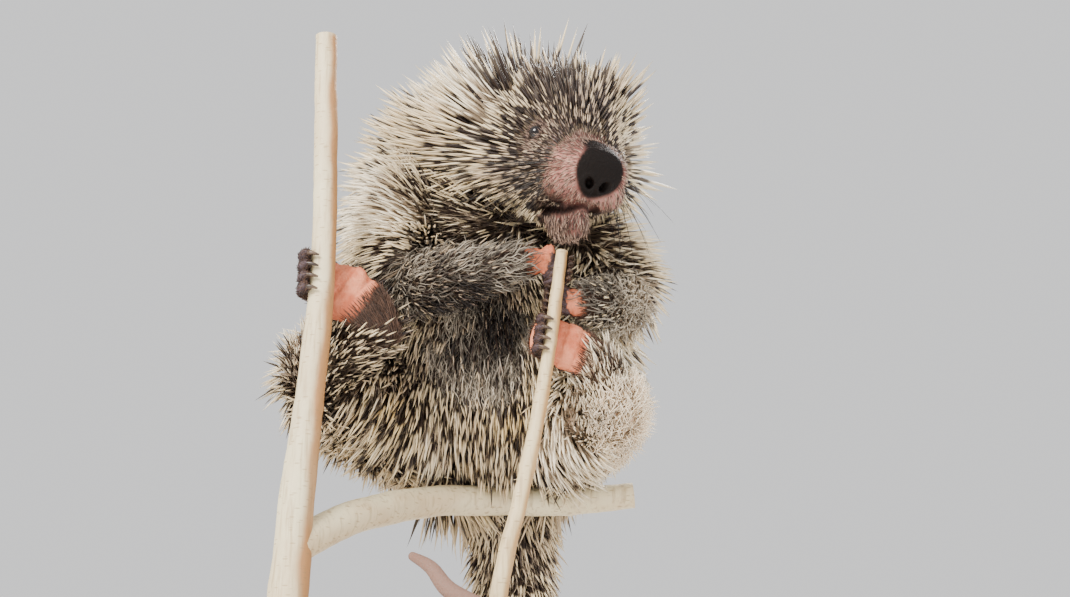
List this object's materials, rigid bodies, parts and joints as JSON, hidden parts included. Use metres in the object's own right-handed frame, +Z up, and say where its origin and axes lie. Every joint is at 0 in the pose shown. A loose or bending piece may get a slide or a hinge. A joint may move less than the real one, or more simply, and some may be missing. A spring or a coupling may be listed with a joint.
{
  "type": "porcupine",
  "caption": "Still model of a prehensile-tailed porcupine hunched upright behind two thin stems that it grips, tail wound round one, on a plain display stand.",
  "frame": {"origin": "middle of the underside of the stand's base, on the floor", "axes": "+Z up; the animal faces -Y; +X is its own left, the viewer's right"},
  "size_m": [0.33, 0.3, 0.5998],
  "materials": {
    "quill_coat": "stiff quills, cream at the tip and root with a dark brown band, over dark underfur",
    "nose_skin": "soft mauve-brown skin under very short hair",
    "sole_skin": "bare salmon-pink soles, dark brown digits and claws",
    "tail_skin": "sparsely haired skin, bare and pinkish towards the tip",
    "eye": "wet, nearly black",
    "bark_thick": "smooth cream bark with an orange-brown flush",
    "bark_thin": "smooth tan bark",
    "base_wood": "oiled, fine grained",
    "rod_steel": "satin"
  },
  "bodies": {
    "root": {"rump": "quill_coat", "trunk_middle": "quill_coat", "shoulders": "quill_coat", "neck": "quill_coat", "head": "quill_coat", "left_ear": "quill_coat", "right_ear": "quill_coat", "left_thigh": "quill_coat", "right_thigh": "quill_coat", "left_shin": "quill_coat", "right_shin": "quill_coat", "left_upper_arm": "quill_coat", "right_upper_arm": "quill_coat", "left_forearm": "quill_coat", "right_forearm": "quill_coat", "tail_base": "quill_coat", "tail_bend": "quill_coat", "tail_middle": "quill_coat", "muzzle": "nose_skin", "left_foot": "sole_skin", "right_foot": "sole_skin", "left_paw": "sole_skin", "right_paw": "sole_skin", "tail_coil": "tail_skin", "tail_tip": "tail_skin", "left_eye": "eye", "right_eye": "eye", "perch_thick_stem": "bark_thick", "perch_seat_limb": "bark_thick", "perch_thin_stem": "bark_thin", "stand_base": "base_wood", "stand_rod_thick": "rod_steel", "stand_rod_thin": "rod_steel"}
  },
  "joints": []
}
